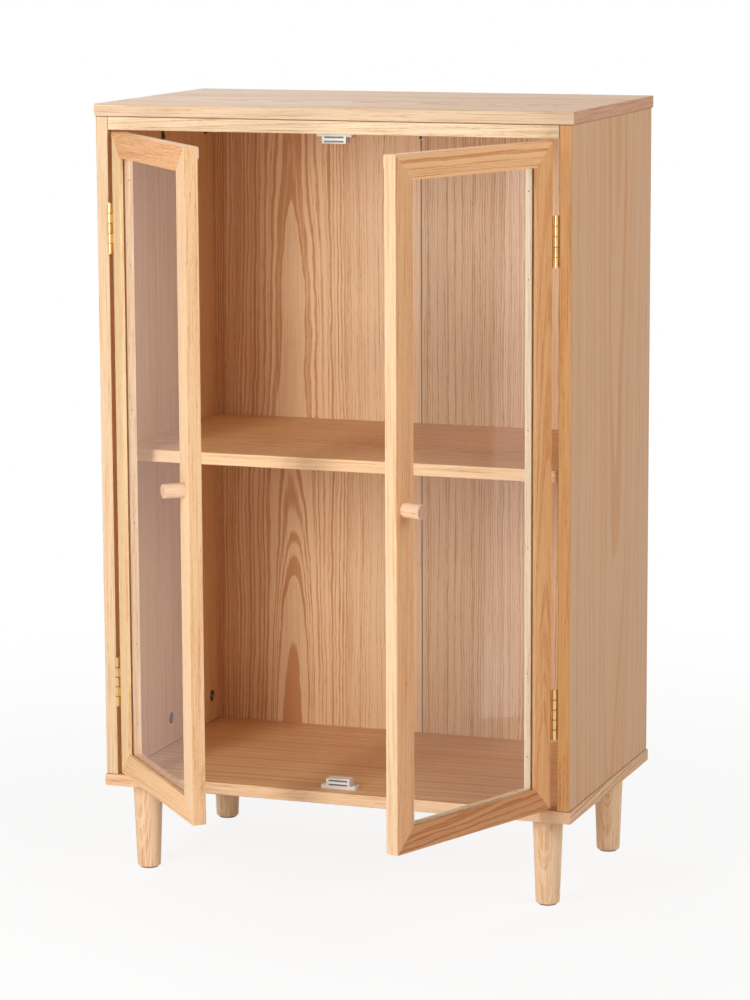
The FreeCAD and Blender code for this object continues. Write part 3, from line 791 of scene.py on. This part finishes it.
def sheet_glass():
    made, start = new_material("sheet_glass")
    place = start.node("TexCoord", {}, {}, "Object")
    film_range = (0.45, 0.75)
    film_share = 0.01
    straight_on = 0.02
    edge_on = 0.9
    steepness = 8.0
    film = start.noise(place, scale=7.0, detail=3.0).rising(*film_range) * film_share
    slant = start.node("LayerWeight", {}, {"Blend": 0.5}, "Facing")
    mirror = slant.math("POWER", steepness) * edge_on + straight_on + film
    shadow = start.node("LightPath", {}, {}, "Is Shadow Ray")
    clear = start.node("BsdfTransparent", {}, {"Color": (0.985, 0.99, 0.985, 1.0)})
    gloss = start.node("BsdfPrincipled", {}, {
        "Base Color": (0.9, 0.9, 0.9, 1.0), "Metallic": 1.0, "Roughness": film + 0.005,
    })
    both = start.node("MixShader", {}, {0: mirror * (1.0 - shadow), 1: clear, 2: gloss})
    start.node("OutputMaterial", {}, {"Surface": both})
    return made


glass = sheet_glass()
for hand in door_turns:
    dress(hand + "_door_glass", glass)

# Knobs: short pegs turned from pale hardwood, with the grain along them and darker ends.
# Each sits on the front of a meeting stile.
for hand, turn in door_turns.items():
    wood(
        hand + "_door_knob", "YXZ", (0.85, 0.6, 0.4), pith=(0.004, 0.012), ring=0.0025, figure=0.3,
        turn=turn, sides={"-Y": (0.68, 0.42, 0.26)},
    )

# Knob screws: zinc plated steel screws with pan heads.
# Each is driven from behind, through the stile and up the middle of a knob.
pan_head = [(0.0036, 0.0), (0.0036, 0.001), (0.0029, 0.0008), (0.0015, 0.0004)]
pan_height = sum(rise for _, rise in pan_head)
knob_screw = cross_screw(shank=0.002, length=0.03, head=pan_head)
for hand in door_turns:
    low, high = shut_box(hand, hand + "_door_knob_screw")
    seat = Vector(((low.x + high.x) / 2, high.y - pan_height, (low.z + high.z) / 2))
    screw = drive(hand + "_door_knob_cross_screw", knob_screw, [(seat, (0, -1, 0))])
    screw.data.transform(door_openings[hand])
    fit(screw, zinc, hand + "_door", hand + "_door_knob_screw")
bpy.data.objects.remove(knob_screw)

# Strike plates: bright nickel squares on the back of each meeting stile, for the magnets to hold.
# Each is held by one small flat-headed screw through its middle.
nickel = metal("nickel_plate", (0.9, 0.89, 0.86), roughness=0.2, scratches=0.2)
plate_thickness = 0.001
strike_head = 0.0024
strike_screw = cross_screw(shank=0.0012, length=0.0072, head=[(strike_head, plate_thickness)])
for hand in door_turns:
    dress(hand + "_door_strike_plates", nickel)
    low, high = shut_box(hand, hand + "_door_strike_screws")
    heights = (low.z + strike_head, high.z - strike_head)
    across = (low.x + high.x) / 2
    back = high.y - plate_thickness
    places = [(Vector((across, back, height)), (0, -1, 0)) for height in heights]
    screws = drive(hand + "_door_strike_cross_screws", strike_screw, places)
    screws.data.transform(door_openings[hand])
    fit(screws, nickel, hand + "_door", hand + "_door_strike_screws")
bpy.data.objects.remove(strike_screw)

# The stage: a pale floor that fades into a white surround and keeps the cabinet's soft shadow.
# It isn't part of the cabinet, and metal and glass mirror it as white.


def shown(start):
    """1 where the camera sees a thing by itself, in metal or through glass, and 0 for its light."""
    ray = start.node("LightPath", {}, {}, "Is Camera Ray")
    return ray.largest(ray.out("Is Glossy Ray"), ray.out("Is Transmission Ray"))


bpy.ops.object.select_all(action="DESELECT")
bpy.ops.mesh.primitive_plane_add(size=30.0, location=(0.0, 0.0, 0.0))
floor = bpy.context.active_object
floor.name = "studio_floor"
floor_paint, start = new_material("studio_floor")
fade_range = (0.3, 1.6)
shadow_share = 0.12
place = start.node("TexCoord", {}, {}, "Object")
away = start.node("VectorMath", {"operation": "LENGTH"}, {0: place}, "Value").rising(*fade_range)
whiteness = away * shadow_share + (1.0 - shadow_share)
lit = start.node("BsdfDiffuse", {}, {"Color": (0.92, 0.91, 0.9, 1.0)})
glow = start.node("Emission", {}, {"Color": (1.0, 1.0, 1.0, 1.0), "Strength": 1.0})
paint = start.node("MixShader", {}, {0: shown(start) * whiteness, 1: lit, 2: glow})
start.node("OutputMaterial", {}, {"Surface": paint})
floor.data.materials.append(floor_paint)
floor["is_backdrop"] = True

surround = bpy.data.worlds.new("studio_surround")
surround.use_nodes = True
surround.node_tree.nodes.clear()
start = Socket(surround.node_tree)
warm_fill = (0.136, 0.104, 0.078)
sky = start.mix(shown(start), warm_fill, (1.0, 1.0, 1.0))
dome = start.node("Background", {}, {"Color": sky, "Strength": 1.0})
start.node("OutputWorld", {}, {"Surface": dome})
bpy.context.scene.world = surround

# The lamps: a tall one close by on the left front, a low one before the legs, and broad soft ones on
# the right and behind. A broad dim panel behind the tall one gives wood and brass their sheen in its
# stead, and a slim one at the right rear draws a pale band on the right door's glass.


def soft_lamp(name, place, width, height, energy, lights=True, mirrored=True):
    """A lamp that points at the cabinet's middle. It may only light surfaces, or only be mirrored."""
    made = bpy.data.lights.new(name, "AREA")
    made.shape = "RECTANGLE"
    made.size = width
    made.size_y = height
    made.energy = energy
    lamp = bpy.data.objects.new(name, made)
    lamp.location = place
    lamp.rotation_mode = "QUATERNION"
    middle = Vector((0.0, 0.0, 0.55))
    lamp.rotation_quaternion = (middle - lamp.location).to_track_quat("-Z", "Y")
    lamp.visible_camera = False
    lamp.visible_diffuse = lights
    lamp.visible_glossy = mirrored
    bpy.context.scene.collection.objects.link(lamp)


soft_lamp("front_lamp", (-0.52, -1.85, 1.04), width=0.36, height=1.0, energy=20.8, mirrored=False)
soft_lamp("low_lamp", (-0.5, -1.2, 0.1), width=0.9, height=0.16, energy=1.6, mirrored=False)
soft_lamp("front_sheen", (-0.6, -2.2, 1.1), width=1.4, height=1.4, energy=26.0, lights=False)
soft_lamp("strip_lamp", (1.023, 0.22, 0.71), width=0.06, height=1.4, energy=0.32)
soft_lamp("right_lamp", (2.8, -1.0, 2.4), width=2.4, height=2.4, energy=50.0)
soft_lamp("rear_lamp", (-1.6, 1.8, 2.9), width=2.4, height=2.4, energy=34.0)

# The camera: it stands to the right of the front, above the cabinet's top, with a long lens.
# Its place and its turns were solved from the cabinet's corners.
eye = Vector((1.4966, -4.1613, 1.2079))
yaw = math.radians(19.844)
pitch = math.radians(9.643)
roll = math.radians(0.254)
camera_data = bpy.data.cameras.new("camera")
camera_data.sensor_width = 36.0
camera_data.lens = 130.5
camera_data.clip_end = 100.0
camera = bpy.data.objects.new("camera", camera_data)
camera.matrix_world = (
    Matrix.Translation(eye)
    @ Matrix.Rotation(yaw, 4, "Z")
    @ Matrix.Rotation(math.radians(90.0) - pitch, 4, "X")
    @ Matrix.Rotation(-roll, 4, "Z")
)
bpy.context.scene.collection.objects.link(camera)
bpy.context.scene.camera = camera
bpy.context.scene.view_settings.view_transform = "Standard"

# The size: the box round the dressed cabinet, in metres.
low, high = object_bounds()
